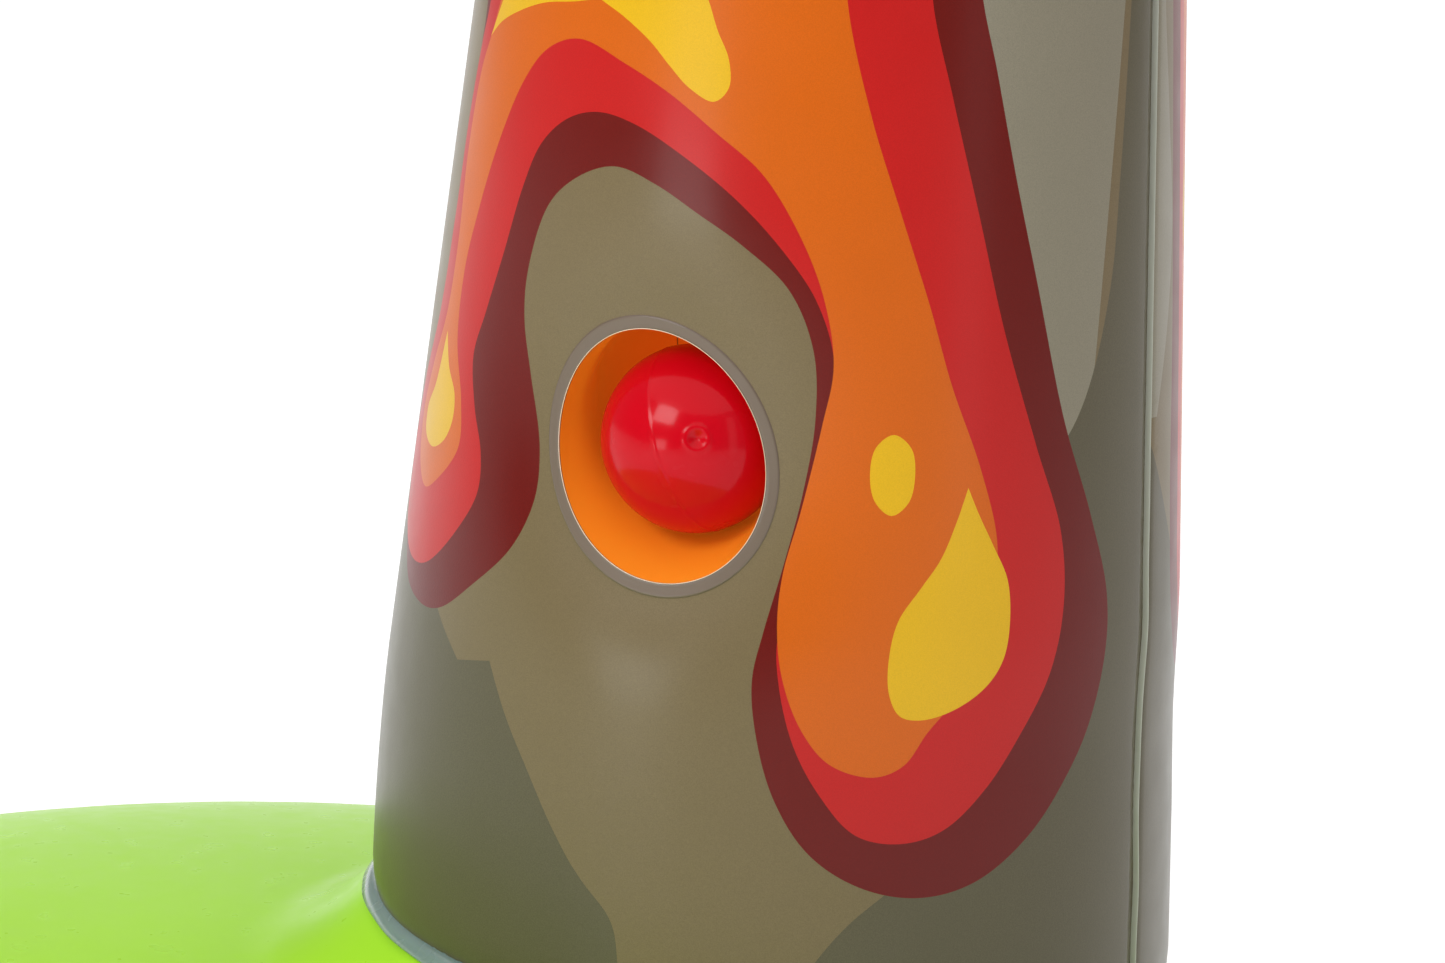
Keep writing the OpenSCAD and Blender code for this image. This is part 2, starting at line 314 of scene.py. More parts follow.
# Lava, from the outermost layer inwards. Each later layer lies over the one before it.
LAVA_SHADE = outline(
    [(-101, TOP), (-101, 470)],
    [(-101, 470), (-96, 430), (-93, 380), (-91, 300), (-90, 240), (-90, 180), (-88, 140),
     (-82, 118), (-76, 116), (-70, 126), (-67, 150), (-67, 190), (-69, 240), (-70, 300),
     (-68, 350), (-64, 378), (-59, 384), (-54, 372), (-50, 343), (-50, 330), (-52, 300),
     (-52, 270), (-54, 229), (-59, 200), (-61, 175), (-59, 155), (-56, 142), (-52, 133),
     (-44, 129), (-38, 132), (-31, 144), (-24, 161), (-21.5, 178), (-22, 196), (-25, 221),
     (-27, 240), (-27, 256), (-24, 279), (-19, 290), (-12, 296), (-5, 292), (2, 284),
     (9, 275), (16, 262), (20, 243), (21, 220), (20, 195), (18, 170), (16, 148), (15, 132),
     (16, 114), (19, 92), (24, 74), (31, 63), (39, 59), (47, 63), (55, 76), (61, 92),
     (66, 111), (69, 136), (69, 158), (65, 186), (59, 220), (53, 268), (49, 300),
     (45, 335), (41.5, 365), (41, 395), (43, 425), (48, 452), (57, 469), (68, 474), (81, 470)],
    [(81, 470), (81, TOP)])
LAVA_RED = outline(
    [(-101, TOP), (-101, 476)],
    [(-101, 476), (-94, 430), (-88.5, 380), (-86, 300), (-85, 240), (-84.5, 190), (-83.5, 152),
     (-80.5, 134), (-77, 130), (-73, 142), (-71, 170), (-73, 220), (-75, 290), (-74, 350),
     (-70, 390), (-63, 405), (-56, 394), (-51, 365), (-48.5, 343), (-50, 328), (-52, 300),
     (-52.5, 270), (-54.5, 230), (-60, 203), (-63, 178), (-61, 156), (-56, 145), (-50, 141.5),
     (-44, 145), (-37, 159), (-32.5, 176), (-33, 190), (-36, 205), (-38, 222), (-36, 238),
     (-33, 260), (-30, 284), (-27, 299), (-22, 309), (-16, 313), (-9, 310.5), (0, 301),
     (8, 289), (15, 274), (20, 259), (23, 240), (23, 215), (22, 190), (20, 165), (18, 146),
     (18.5, 132), (21, 111), (25, 94), (30, 81), (36, 78), (42, 82), (48, 95), (53, 112),
     (58, 134), (60, 158), (59, 182), (54, 212), (48, 250), (43, 289), (38, 327), (34, 359),
     (33, 390), (35, 425), (41, 458), (52, 480), (67, 488), (81, 484)],
    [(81, 484), (81, TOP)])
LAVA_ORANGE = outline(
    [(-101, TOP), (-101, 500)],
    [(-101, 500), (-91, 440), (-85, 380), (-82.5, 300), (-81.5, 240), (-81, 200), (-80, 172),
     (-78.5, 164), (-77, 170), (-76.5, 200), (-78, 250), (-79, 310), (-79, 360), (-75, 408),
     (-66, 425), (-56, 413), (-48, 382), (-43, 355), (-45, 336), (-48.5, 318), (-50, 290),
     (-49, 258), (-50, 232), (-54, 212), (-57, 193), (-55, 177), (-50, 169), (-45, 174),
     (-39, 189), (-40, 205), (-44, 226), (-44.5, 250), (-42, 272), (-38, 297), (-33, 319),
     (-28, 331), (-21, 336), (-12, 330), (-4, 322), (4, 310.5), (11, 299), (17, 280),
     (21, 260), (23, 238), (22, 218), (20, 190), (18, 167), (17.8, 150), (19, 133),
     (22, 116), (26, 105), (32, 101), (36, 105), (39, 116), (43, 128), (47, 145),
     (48, 162), (48, 181), (45, 205), (40, 233), (36, 260), (31, 290), (26, 320),
     (21.5, 355), (20, 385), (22, 430), (29, 470), (43, 495), (61, 503), (81, 500)],
    [(81, 500), (81, TOP)])
YELLOWS = [
    outline([(32, 216.5), (34.6, 212), (35.3, 203), (34.6, 194), (32.3, 189.5), (29.9, 194),
             (29, 203), (29.6, 212)]),
    outline([(43.2, 199), (45, 190), (47.5, 179), (50, 167), (50.6, 152), (49.8, 140),
             (47.5, 131.5), (43, 124), (38, 120.5), (35, 122), (33.4, 129), (33, 140),
             (34, 154), (37, 165.5), (39.6, 175), (41.6, 187), (43.2, 199)],
            [(43.2, 199), (43.2, 199.2)]),
    outline([(-46, 331), (-42.5, 336.5), (-37, 341.5), (-30, 346), (-23, 348), (-18, 350)],
            [(-18, 350), (-13, 345), (-8, 338), (-4.5, 331), (-1, 324.5), (3, 321), (5, 326),
             (4.6, 335), (2.5, 344), (0, 356), (-6, 372), (-17, 381), (-30, 374), (-40, 354),
             (-46, 331)]),
    outline([(-48.5, 226), (-46, 215), (-42.4, 206), (-42, 197), (-44, 189), (-49, 184),
             (-53.5, 188), (-54, 196), (-51, 206), (-48.5, 226)], [(-48.5, 226), (-48.5, 226.2)]),
    outline([(12, 430), (15, 412), (14, 396), (10, 390), (6.5, 398), (7, 415)]),
    outline([(-80, 300), (-78.6, 285), (-80, 270), (-82, 285)]),
    outline([(-72, 470), (-62, 462), (-52, 470), (-56, 486), (-68, 490)]),
    outline([(-20, 440), (-12, 428), (-6, 445), (-4, 490), (2, 520), (-20, 530), (-40, 505),
             (-34, 470), (-27, 462)]),
    outline([(50, 530), (60, 518), (72, 524), (70, 545), (56, 548)]),
]

# Tones of the rock behind the lava
ROCK_LIGHT = [
    outline([(36, 200), (64, 215)], [(64, 215), (76, 490)], [(76, 490), (36, 490)],
            [(36, 490), (36, 200)]),
    outline([(-101, 215), (-97, 215)],
            [(-97, 215), (-92.5, 250), (-91, 282), (-93.5, 322), (-96, 360), (-96.5, 400),
             (-98, 450)],
            [(-98, 450), (-101, 450)], [(-101, 450), (-101, 215)]),
]
ROCK_DARK = [
    outline([(-101, 215), (-88, 160)], [(-88, 160), (-60, 150)], [(-60, 150), (-42, 140)],
            [(-42, 140), (-38.5, 130), (-32, 117)], [(-32, 117), (-25, 121)],
            [(-25, 121), (-21, 105), (-16, 88), (-11, 70), (-6, 54), (-1.5, 41), (0, 26),
             (0.5, LOW)],
            [(0.5, LOW), (-101, LOW)]),
    outline([(36, 64), (30, 50), (26, 36), (22, 16), (20, LOW)], [(20, LOW), (81, LOW)],
            [(81, LOW), (81, 490)], [(81, 490), (76, 480)],
            [(76, 480), (74, 420), (72, 360), (70, 301), (68, 262), (62, 222), (50, 190)],
            [(50, 190), (36, 64)]),
]
FRONT_LAYERS = ([(s, "rock_light") for s in ROCK_LIGHT] + [(s, "rock_dark") for s in ROCK_DARK]
                + [(LAVA_SHADE, "shade"), (LAVA_RED, "red"), (LAVA_ORANGE, "orange")]
                + [(s, "yellow") for s in YELLOWS])

# ---------------------------------------------------------------- shapes of the skins

def smoothstep(low, high, value):
    t = min(max((value - low) / (high - low), 0), 1)
    return t * t * (3 - 2 * t)


def port_point(angle, spread=0.0):
    """A point of the port's edge, spread mm outside it, in degrees and mm."""
    z = (PORT_HALF_H + spread) * math.sin(angle)
    half = PORT_HALF_W + math.degrees(spread / MOUTH_R)
    return PORT_TURN + PORT_LEAN * z / PORT_HALF_H + half * math.cos(angle), PORT_Z + z


def port_distance(turn, z):
    """Roughly how far outside the port's edge a point of the wall is, in mm."""
    v = (z - PORT_Z) / PORT_HALF_H
    u = (turn - PORT_TURN - PORT_LEAN * v) / PORT_HALF_W
    return (math.hypot(u, v) - 1) * 40


def joint_drop(turn, radius):
    """Height of the sloping joint at a point round the tower, against its middle. It sags a little
    at the front left."""
    toward = math.cos(math.radians(turn) - math.pi / 2 - base_turn)
    sag = 4.0 * math.exp(-((turn + 46) / 13) ** 2)
    return -math.tan(math.radians(JOINT_TILT)) * radius * toward - sag


def seam_distance(turn):
    return min(abs((turn - s + 180) % 360 - 180) for s in SEAMS)


def foot_tuck(turn, z):
    """How far the wall's lowest stretch lies inside the cone: it tucks in on the left, stays
    straight on the right, and rolls in to its weld at the very bottom."""
    right = 0.5 + 0.5 * math.cos(math.radians(turn - 104))
    low = max(FOOT_TOP - z, 0) / FOOT_TOP
    tuck = (1 - right) * 6.0 * low ** 1.6 + right * 2.0 * smoothstep(150, 90, z)
    roll = min(max(ROLL_TOP - z, 0) / ROLL_TOP, 1)
    return tuck + 3.6 * (1 - math.sqrt(1 - 0.99 * roll * roll))


def wall_point(turn, z, lift=0.0, dip=True):
    """A point of the inflated wall, in metres. turn is degrees from the outlet towards +X."""
    radius = CONE_R - TAPER * z - foot_tuck(turn, z)
    if z > WALL_H - 24:
        radius -= 2.2 * ((z - WALL_H + 24) / 24) ** 2
    if dip and abs(turn) < 80:
        away = max(port_distance(turn, z), 0)
        radius -= PORT_DIP * math.exp(-(away / 22) ** 1.4)
    from_seam = seam_distance(turn)
    radius -= 1.3 * math.exp(-(from_seam / 1.3) ** 2)
    radius += lift
    height = z + (1 - min(max(z, 0), 60) / 60) * joint_drop(turn, radius)
    height -= 1.5 * (max(ROLL_TOP - max(z, 0), 0) / ROLL_TOP) ** 2
    a = math.radians(turn)
    return Vector((radius * math.sin(a), -radius * math.cos(a), JOINT_Z + height)) * MM


def dome_height(x, y):
    """The base's top film, in mm above the floor."""
    out = min(math.hypot(x - BASE_X, y - BASE_Y) / BASE_R, 1)
    return RIM_Z + (DOME_TOP - RIM_Z) * (1 - out ** DOME_FULLNESS) ** (1 / DOME_FULLNESS)


def plinth_height(x, y):
    """The raised pad's side under the tower, run on down past the dome."""
    radius = math.hypot(x, y)
    turn = math.degrees(math.atan2(x, -y))
    out = radius - FOOT_R + 1.0
    round_over = 3.0
    fall = out if out > round_over else max(out, 0) ** 2 / (2 * round_over)
    if out > round_over:
        fall -= round_over / 2
    return JOINT_Z - 1.0 + joint_drop(turn, radius) - fall * math.tan(math.radians(PLINTH_SLOPE))


def base_point(x, y):
    """The whole top of the base: dome, pad and the soft hollow between them, and rim puckers."""
    dome = dome_height(x, y)
    pad = plinth_height(x, y)
    soft = 42.0
    rim_fade = 34.0
    top = max(dome, pad)
    blend = max(soft - abs(dome - pad), 0) / soft
    top += blend * blend * soft / 4
    edge = BASE_R - math.hypot(x - BASE_X, y - BASE_Y)
    top = dome + (top - dome) * smoothstep(0, rim_fade, edge)
    top += pucker(math.atan2(y - BASE_Y, x - BASE_X), edge)
    return Vector((x, y, top)) * MM


def pucker(angle, edge):
    """Small radial gathers that a flat sheet makes where it is welded round a rim."""
    if edge > 70:
        return 0.0
    wave = math.sin(angle * 61 + 2.2 * math.sin(angle * 7)) + 0.6 * math.sin(angle * 97 + 1.3)
    return 0.6 * wave * math.exp(-edge / 13) * smoothstep(0, 5, edge)


# ---------------------------------------------------------------- mesh helpers

def finish_mesh(name, mesh, materials, body=ROOT, replaced=()):
    obj = bpy.data.objects.new(name, mesh)
    bpy.context.scene.collection.objects.link(obj)
    for material in materials:
        mesh.materials.append(material)
    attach(obj, body)
    if replaced:
        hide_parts(*replaced)


class Loop:
    """A closed outline with a quick inside test for many points."""

    def __init__(self, points):
        self.points = [(p[0], p[1]) for p in points]
        self.array = np.array(self.points)

    def holds(self, centres):
        a = self.array
        b = np.roll(a, -1, axis=0)
        x, y = centres[:, 0:1], centres[:, 1:2]
        crosses = (a[:, 1] > y) != (b[:, 1] > y)
        rise = np.where(b[:, 1] == a[:, 1], 1e-9, b[:, 1] - a[:, 1])
        left = x < (b[:, 0] - a[:, 0]) * (y - a[:, 1]) / rise + a[:, 0]
        return (crosses & left).sum(axis=1) % 2 == 1


def cut_sheet(name, border, holes, layers, grid, place, base_ink, inks):
    """A flat sheet cut along every outline, so that each printed area has its own crisp edge, and
    then laid on its shape by place(x, y). Its smooth shading follows the shape and not the cuts."""
    loops = [Loop(border)] + [Loop(h) for h in holes] + [Loop(o) for o, ink in layers]
    points, edges = [], []
    for loop in loops:
        start = len(points)
        count = len(loop.points)
        points += [Vector(p) for p in loop.points]
        edges += [(start + i, start + (i + 1) % count) for i in range(count)]
    points += [Vector(p) for p in grid]
    verts, _, faces, _, _, _ = geometry.delaunay_2d_cdt(points, edges, [], 0, 1e-4)
    flat = np.array([(v.x, v.y) for v in verts])
    centres = np.array([flat[list(f)].mean(axis=0) for f in faces])
    keep = loops[0].holds(centres)
    for loop in loops[1:1 + len(holes)]:
        keep &= ~loop.holds(centres)
    names = [base_ink] + sorted({ink for o, ink in layers} - {base_ink})
    ink_of = np.zeros(len(faces), int)
    for loop, (o, ink) in zip(loops[1 + len(holes):], layers):
        ink_of[loop.holds(centres)] = names.index(ink)
    kept = [i for i in range(len(faces)) if keep[i]]
    used = sorted({v for i in kept for v in faces[i]})
    index = {v: i for i, v in enumerate(used)}
    step = 0.4
    spots, normals = [], []
    for v in used:
        x, y = flat[v]
        here = place(x, y)
        across = place(x + step, y) - place(x - step, y)
        along = place(x, y + step) - place(x, y - step)
        spots.append(here)
        normals.append(across.cross(along).normalized())
    mesh = bpy.data.meshes.new(name)
    mesh.from_pydata(spots, [], [[index[v] for v in faces[i]] for i in kept])
    mesh.polygons.foreach_set("material_index", [int(ink_of[i]) for i in kept])
    mesh.polygons.foreach_set("use_smooth", [True] * len(kept))
    mesh.normals_split_custom_set_from_vertices(normals)
    return mesh, [inks[n] for n in names]


def strip(name, rows, closed=False):
    """A skin through rows of points, each row as long as the next. Smooth shaded."""
    mesh = bpy.data.meshes.new(name)
    wide = len(rows[0])
    verts = [p for row in rows for p in row]
    faces = []
    count = len(rows) if closed else len(rows) - 1
    for i in range(count):
        j = (i + 1) % len(rows)
        for k in range(wide - 1):
            faces.append((i * wide + k, i * wide + k + 1, j * wide + k + 1, j * wide + k))
    mesh.from_pydata(verts, [], faces)
    mesh.polygons.foreach_set("use_smooth", [True] * len(faces))
    return mesh


def outward(mesh):
    """Turns every face of a closed or nearly closed mesh to the outside."""
    work = bmesh.new()
    work.from_mesh(mesh)
    bmesh.ops.recalc_face_normals(work, faces=work.faces)
    work.to_mesh(mesh)
    work.free()


def ring_piece(name, section, steps, material, replaced):
    """A closed ring: section(i) gives the cross-section's points at step i of the way round."""
    rows = []
    for i in range(steps):
        row = section(i)
        rows.append(row + row[:1])
    mesh = strip(name, rows, closed=True)
    work = bmesh.new()
    work.from_mesh(mesh)
    bmesh.ops.remove_doubles(work, verts=work.verts, dist=1e-7)
    bmesh.ops.recalc_face_normals(work, faces=work.faces)
    work.to_mesh(mesh)
    work.free()
    mesh.polygons.foreach_set("use_smooth", [True] * len(mesh.polygons))
    finish_mesh(name, mesh, [material], ROOT, replaced)


# ---------------------------------------------------------------- tower wall

def wall_grid(low, high, z_low, z_high):
    """Spots that carry the wall's curve between the outlines, closer together at the foot and beside the
    two side edges.
    """
    out = []
    for z in np.arange(z_low + 4, z_high - 1, 8.0):
        for turn in np.arange(low + 1.5, high - 1, 3.0):
            out.append((math.radians(turn) * MEAN_R, z))
    for z in (1.0, 2.2, 4.0, 7.0):
        for turn in np.arange(low + 1, high - 0.5, 2.0):
            out.append((math.radians(turn) * MEAN_R, z))
    for side in (low, high):
        for away in (0.4, 0.8, 1.3, 1.9, 2.6):
            turn = side + away if side == low else side - away
            for z in np.arange(z_low + 2, z_high, 6.0):
                out.append((math.radians(turn) * MEAN_R, z))
    return out


def straight_border(low, high, z_low, z_high):
    left, right = math.radians(low) * MEAN_R, math.radians(high) * MEAN_R
    bottom = [(x, z_low) for x in np.linspace(left, right, 120)]
    top = [(x, z_high) for x in np.linspace(right, left, 90)]
    up = [(right, z) for z in np.linspace(z_low, z_high, 80)][1:-1]
    down = [(left, z) for z in np.linspace(z_high, z_low, 80)][1:-1]
    return bottom + up + top + down


def wall_place(offset, dip):
    def place(x, y):
        return wall_point(math.degrees(x / MEAN_R) + offset, y, dip=dip)
    return place


def flat_port(spread, count=140):
    ring = [port_point(2 * math.pi * i / count, spread) for i in range(count)]
    return [(math.radians(t) * MEAN_R, z) for t, z in ring]


def make_front_wall():
    grid = wall_grid(-100, 80, 0, WALL_H)
    for spread in (1.0, 2.5, 4.5, 7, 10, 13.5, 17.5, 22, 28):
        grid += flat_port(spread, 96)
    grid = [g for g in grid if port_distance(math.degrees(g[0] / MEAN_R), g[1]) > 0.4]
    mesh, inks = cut_sheet("front_skin", straight_border(-100, 80, 0, WALL_H), [flat_port(0)],
                           FRONT_LAYERS, grid, wall_place(0, True), "rock", INK)
    finish_mesh("front_skin", mesh, inks, ROOT, ["front_panel"])


def make_back_wall():
    valve_low, valve_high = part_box("tower_valve_patch")
    middle_z = (valve_low.z + valve_high.z) / 2 / MM - JOINT_Z
    valve_hole = [(VALVE_HOLE_R * math.cos(a), middle_z + VALVE_HOLE_R * math.sin(a))
                  for a in np.linspace(0, 2 * math.pi, 32, endpoint=False)]
    grid = [g for g in wall_grid(-100, 80, 0, WALL_H)
            if math.hypot(g[0], g[1] - middle_z) > VALVE_CLEAR]
    mesh, inks = cut_sheet("back_skin", straight_border(-100, 80, 0, WALL_H), [valve_hole],
                           FRONT_LAYERS, grid, wall_place(180, False), "rock", INK)
    finish_mesh("back_skin", mesh, inks, ROOT, ["back_panel"])


make_front_wall()
make_back_wall()


def make_side_seams():
    """Two lapped welds: a thin pale cut edge that stands a little proud and wanders slightly."""
    half = 0.09
    profile = [(-1, -1.5), (-0.9, 1.9), (-0.3, 2.3), (0.5, 2.2), (1, 1.8), (1, -1.5)]
    meshes = []
    for seam in SEAMS:
        def centre(z):
            wander = 0.22 * math.sin(z / 19) + 0.16 * math.sin(z / 7.3 + 1)
            return seam + wander * smoothstep(260, 60, z) if z < 260 else seam
        rows = []
        for z in np.linspace(0.5, WALL_H - 0.5, 260):
            turn = centre(z)
            rows.append([wall_point(turn + half * side, z, lift=lift) for side, lift in profile])
        meshes.append(strip("seam", rows))
    work = bmesh.new()
    for mesh in meshes:
        work.from_mesh(mesh)
    bmesh.ops.recalc_face_normals(work, faces=work.faces)
    joined = bpy.data.meshes.new("side_seam_lips")
    work.to_mesh(joined)
    work.free()
    finish_mesh("side_seam_lips", joined, [seam_edge], ROOT, ["side_seams"])


make_side_seams()

# ---------------------------------------------------------------- outlet

OUT = Vector((0, -math.cos(math.radians(OUTLET_SLOPE)), -math.sin(math.radians(OUTLET_SLOPE))))
MOUTH = Vector((0, -MOUTH_R, JOINT_Z + MOUTH_Z)) * MM


def port_edge(angle, spread=0.0, lift=0.0):
    turn, z = port_point(angle, spread)
    return wall_point(turn, z, lift)


def make_port_band():
    """The welded band round the port: the two films pressed flat together, with a soft outer step."""
    steps = 180
    spreads = [0.05, 0.6, 1.6, 2.8, 3.8, PORT_BAND - 0.2, PORT_BAND + 0.15]
    lifts = [0.35, 0.55, 0.55, 0.5, 0.5, 0.42, -0.3]
    rows = []
    for i in range(steps):
        angle = 2 * math.pi * i / steps
        wide = 1 + 0.06 * math.sin(3 * angle + 0.7)
        rows.append([port_edge(angle, s * wide, l) for s, l in zip(spreads, lifts)])
    mesh = strip("port_band", rows, closed=True)
    outward(mesh)
    finish_mesh("port_band", mesh, [band_film], ROOT, ["port_flange"])


def make_port_edge():
    """The thin cut edge of the orange film that shows round the port, coloured near white as a painted
    highlight where it catches the light.
    """
    steps = 180
    def section(i):
        angle = 2 * math.pi * i / steps
        ring = []
        for k in range(8):
            a = 2 * math.pi * k / 8
            ring.append(port_edge(angle, 0.12 * math.cos(a), 0.5 + 0.2 * math.sin(a)))
        return ring
    ring_piece("port_cut_edge", section, steps, cut_edge_painted_highlight, [])


def tube_point(angle, depth):
    """A point of the orange sleeve behind the port, depth mm along the outlet."""
    edge = port_edge(angle, -0.1, 0.1)
    back = -OUT
    share = smoothstep(0, COLLAR_DEPTH, depth)
    up = Vector((0, OUT.z, -OUT.y))
    middle = MOUTH
    centre = middle + back * depth * MM
    circle = centre + (Vector((1, 0, 0)) * math.cos(angle) + up * math.sin(angle)) * SLEEVE_R * MM
    start = edge + back * depth * MM
    return start.lerp(circle, share)


def make_collar():
    """The sleeve from the port to its inner weld, bulged a little by the air round it."""
    steps, rings = 160, 26
    rows = []
    for j in range(rings + 1):
        depth = COLLAR_DEPTH * j / rings
        rows.append([])
        for i in range(steps + 1):
            angle = 2 * math.pi * i / steps
            p = tube_point(angle, depth)
            middle = MOUTH - OUT * depth * MM
            inward = (middle - p).normalized()
            swell = 1.6 * math.sin(math.pi * j / rings)
            gather = 0.35 * math.sin(angle * 23 + math.sin(angle * 5)) * smoothstep(0.6, 1, j / rings)
            rows[-1].append(p + inward * (swell + gather) * MM)
    mesh = strip("collar_sleeve", rows)
    join_ends(mesh)
    finish_mesh("collar_sleeve", mesh, [orange_film_painted_glow], ROOT, ["outlet_collar"])


def join_ends(mesh):
    """Joins a sleeve's first and last column of points."""
    work = bmesh.new()
    work.from_mesh(mesh)
    bmesh.ops.remove_doubles(work, verts=work.verts, dist=1e-6)
    work.to_mesh(mesh)
    work.free()
    mesh.polygons.foreach_set("use_smooth", [True] * len(mesh.polygons))


def make_ramp():
    """The second sleeve, from the weld ring to the shaft, with its end gathers."""
    steps, rings = 120, 20
    longest = 90 * MM
    up = Vector((0, OUT.z, -OUT.y))
    start = MOUTH - OUT * (COLLAR_DEPTH - 0.6) * MM
    rows = []
    for j in range(rings + 1):
        share = j / rings
        rows.append([])
        for i in range(steps + 1):
            angle = 2 * math.pi * i / steps
            spoke = Vector((1, 0, 0)) * math.cos(angle) + up * math.sin(angle)
            x = SLEEVE_R * math.cos(angle)
            side = math.sqrt(RAMP_END_R ** 2 - x * x)
            edge = start + spoke * SLEEVE_R * MM
            reach = min((-side * MM - edge.y) / (-OUT.y), longest)
            p = edge - OUT * reach * share
            crease = 1.5 * math.exp(-share * 9) + 0.3 * math.sin(angle * 19) * math.exp(-share * 5)
            rows[-1].append(p - spoke * (crease * smoothstep(0, 0.12, share) - 0.5) * MM)
    mesh = strip("ramp_sleeve", rows)
    join_ends(mesh)
    finish_mesh("ramp_sleeve", mesh, [orange_film_painted_glow], ROOT, ["outlet_ramp"])


make_port_band()
make_port_edge()
make_collar()
make_ramp()

# ---------------------------------------------------------------- crown and its welds

def crown_point(turn, share):
    """share runs from 0 at the shoulder to 1 at the shaft."""
    share = min(max(share, 0), 1)
    outer = CONE_R - TAPER * WALL_H - 2.2
    inner = SHAFT_R + 1.4
    radius = outer + (inner - outer) * share
    gather = math.sin(math.radians(turn) * 46 + 1.7 * math.sin(math.radians(turn) * 5))
    rise = (CROWN_TOP - WALL_TOP - 3.4) * max(math.sin(math.pi * share), 0) ** 0.85
    rise += 4.8 * share + 1.0
    rise += 0.5 * gather * (math.exp(-share * 12) + 0.8 * math.exp(-(1 - share) * 10))
    a = math.radians(turn)
    return Vector((radius * math.sin(a), -radius * math.cos(a), WALL_TOP + rise)) * MM


def crown_loop(level, depth, waves, shift):
    """A wavy ring round the crown, in mm of unrolled crown."""
    out = []
    for i in range(360):
        a = math.radians(i - 180)
        wave = math.sin(waves * a + shift) + 0.4 * math.sin((waves + 2) * a + 2 * shift)
        out.append((a * MEAN_R, (level + depth * wave) * 100))
    out.append((math.pi * MEAN_R, out[0][1]))
    return out + [(math.pi * MEAN_R, 130), (-math.pi * MEAN_R, 130)]


def make_crown():
    layers = [(crown_loop(0.34, 0.10, 7, 0.4), "yellow"), (crown_loop(0.62, 0.06, 9, 1.2), "orange"),
              (crown_loop(0.82, 0.04, 6, 2.0), "red")]
    half = math.pi * MEAN_R
    border = ([(x, 0) for x in np.linspace(-half, half, 181)]
              + [(x, 100) for x in np.linspace(half, -half, 181)])
    grid = [(x, y) for y in np.arange(3, 99, 4.0) for x in np.linspace(-half, half, 150)[1:-1]]
    mesh, inks = cut_sheet("crown_skin", border, [], layers, grid,
                           lambda x, y: crown_point(math.degrees(x / MEAN_R), y / 100),
                           "orange", INK)
    finish_mesh("crown_skin", mesh, inks, ROOT, ["top_panel"])


def flat_weld_ring(name, inner, outer, height, thick, steps, material, replaced, ruffle=0.5):
    """A welded lip that lies flat round the tower, with a softly ruffled outer edge."""
    def section(i):
        a = 2 * math.pi * i / steps
        wave = ruffle * (math.sin(a * 37 + 2 * math.sin(3 * a)) + 0.5 * math.sin(a * 61))
        out = outer + 0.3 * math.sin(a * 11)
        pts = [(inner, -thick / 2), (out - 0.4, -thick / 2 + wave), (out, wave * 1.1),
               (out - 0.4, thick / 2 + wave), (inner, thick / 2)]
        return [Vector((r * math.cos(a), r * math.sin(a), height + z)) * MM for r, z in pts]
    ring_piece(name, section, steps, material, replaced)


def make_crater_lip():
    steps = 240
    def section(i):
        a = 2 * math.pi * i / steps
        high = WALL_TOP + 8.6 + 0.35 * math.sin(a * 31 + math.sin(a * 4))
        pts = [(SHAFT_R + 0.9, WALL_TOP + 2), (SHAFT_R + 0.8, high), (SHAFT_R + 1.4, high + 0.3),
               (SHAFT_R + 2.0, high), (SHAFT_R + 1.9, WALL_TOP + 2)]
        return [Vector((r * math.cos(a), r * math.sin(a), z)) * MM for r, z in pts]
    ring_piece("crater_lip", section, steps, clear_film,
               ["crater_ring"])


make_crown()
flat_weld_ring("shoulder_lip", CONE_R - TAPER * WALL_H - 3.0, CONE_R - TAPER * WALL_H + 4.0,
               WALL_TOP + 0.4, 0.9, 360, clear_film, ["shoulder_seam"])
make_crater_lip()

# ---------------------------------------------------------------- foot

def make_foot_lip():
    """The welded lip round the tower's foot, laid down over the pad's side, with a slightly raised outer
    edge.
    """
    slope = math.radians(PLINTH_SLOPE)
    along = Vector((math.cos(slope), -math.sin(slope)))
    out = Vector((math.sin(slope), math.cos(slope)))
    steps = 480
    def section(i):
        turn = 360 * i / steps
        a = math.radians(turn)
        width = 6.4 + 0.25 * math.sin(a * 9) + 0.15 * math.sin(a * 23)
        wave = 0.05 * math.sin(a * 41 + math.sin(3 * a))
        top = Vector((FOOT_R - 3.5, -0.3))
        shelf = Vector((FOOT_R - 0.2, 0.5))
        edge = Vector((FOOT_R + 0.4, 0.1)) + along * width
        pts = [top, shelf + out * 0.3, edge * 0.5 + shelf * 0.5 + out * 0.75, edge + out * (1.0 + wave),
               edge + along * 0.35 + out * 0.5, edge - out * 0.1, top - Vector((0, 1.2))]
        ring = []
        for r, z in pts:
            height = JOINT_Z + z + joint_drop(turn, r)
            ring.append(Vector((r * math.sin(a), -r * math.cos(a), height)) * MM)
        return ring
    ring_piece("foot_lip", section, steps, foot_film,
               ["foot_flange"])


make_foot_lip()

# ---------------------------------------------------------------- base

def circle(x, y, radius, count):
    return [(x + radius * math.cos(2 * math.pi * i / count),
             y + radius * math.sin(2 * math.pi * i / count)) for i in range(count)]


